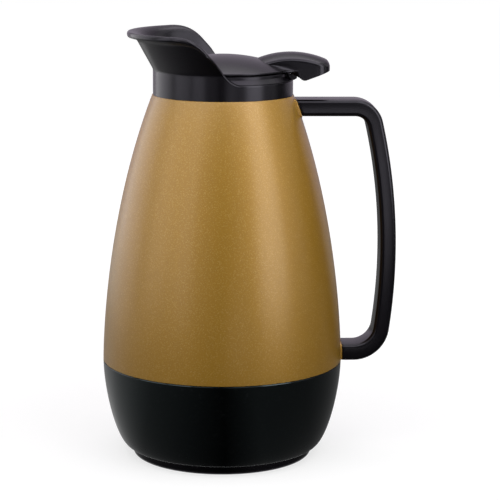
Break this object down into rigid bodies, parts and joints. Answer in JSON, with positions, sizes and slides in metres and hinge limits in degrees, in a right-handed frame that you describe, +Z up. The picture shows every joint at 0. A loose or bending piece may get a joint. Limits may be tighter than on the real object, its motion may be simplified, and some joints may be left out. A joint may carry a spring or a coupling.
{
  "type": "thermal carafe",
  "caption": "Vacuum carafe with a flared pouring spout, a looped handle, a pull-out stopper and a domed lid that a thumb lever tips open.",
  "frame": {"origin": "on the body's axis, in the plane that the foot ring stands on", "axes": "+Z up along the body's axis, +X towards the handle and the thumb lever, -X towards the spout"},
  "size_m": [0.1721, 0.141, 0.2503],
  "materials": {
    "gold_lacquer": "moulded, lacquered metallic gold with a fine flake",
    "gloss_black": "polished",
    "satin_black": "satin",
    "silvered_glass": "silvered on the faces that meet the vacuum",
    "grey_rubber": "moulded",
    "pale_silicone": "moulded",
    "mineral_pad": "pressed fibre",
    "steel": "plain"
  },
  "bodies": {
    "carafe": {"outer_shell": "gold_lacquer", "base_cup": "gloss_black", "base_cap": "satin_black", "base_seal": "grey_rubber", "flask_cushion": "grey_rubber", "flask_outer": "silvered_glass", "flask_inner": "silvered_glass", "flask_spacers": "mineral_pad", "neck_gasket": "grey_rubber", "spout_head": "satin_black", "handle": "satin_black", "handle_screws": "steel"},
    "stopper": {"pour_stopper": "satin_black", "stopper_seal": "pale_silicone"},
    "lid": {"lid_cover": "satin_black", "lid_base": "satin_black", "lid_plug": "satin_black", "plug_seal": "pale_silicone", "hinge_pin": "steel"}
  },
  "joints": [
    {"name": "stopper_lift", "type": "slide", "parent": "carafe", "child": "stopper", "axis": [0, 0, 1], "range_m": [0, 0.055]},
    {"name": "lid_hinge", "type": "hinge", "parent": "stopper", "child": "lid", "pos_m": [0.042, 0, 0.2295], "axis": [0, 1, 0], "range_deg": [0, 40]}
  ]
}
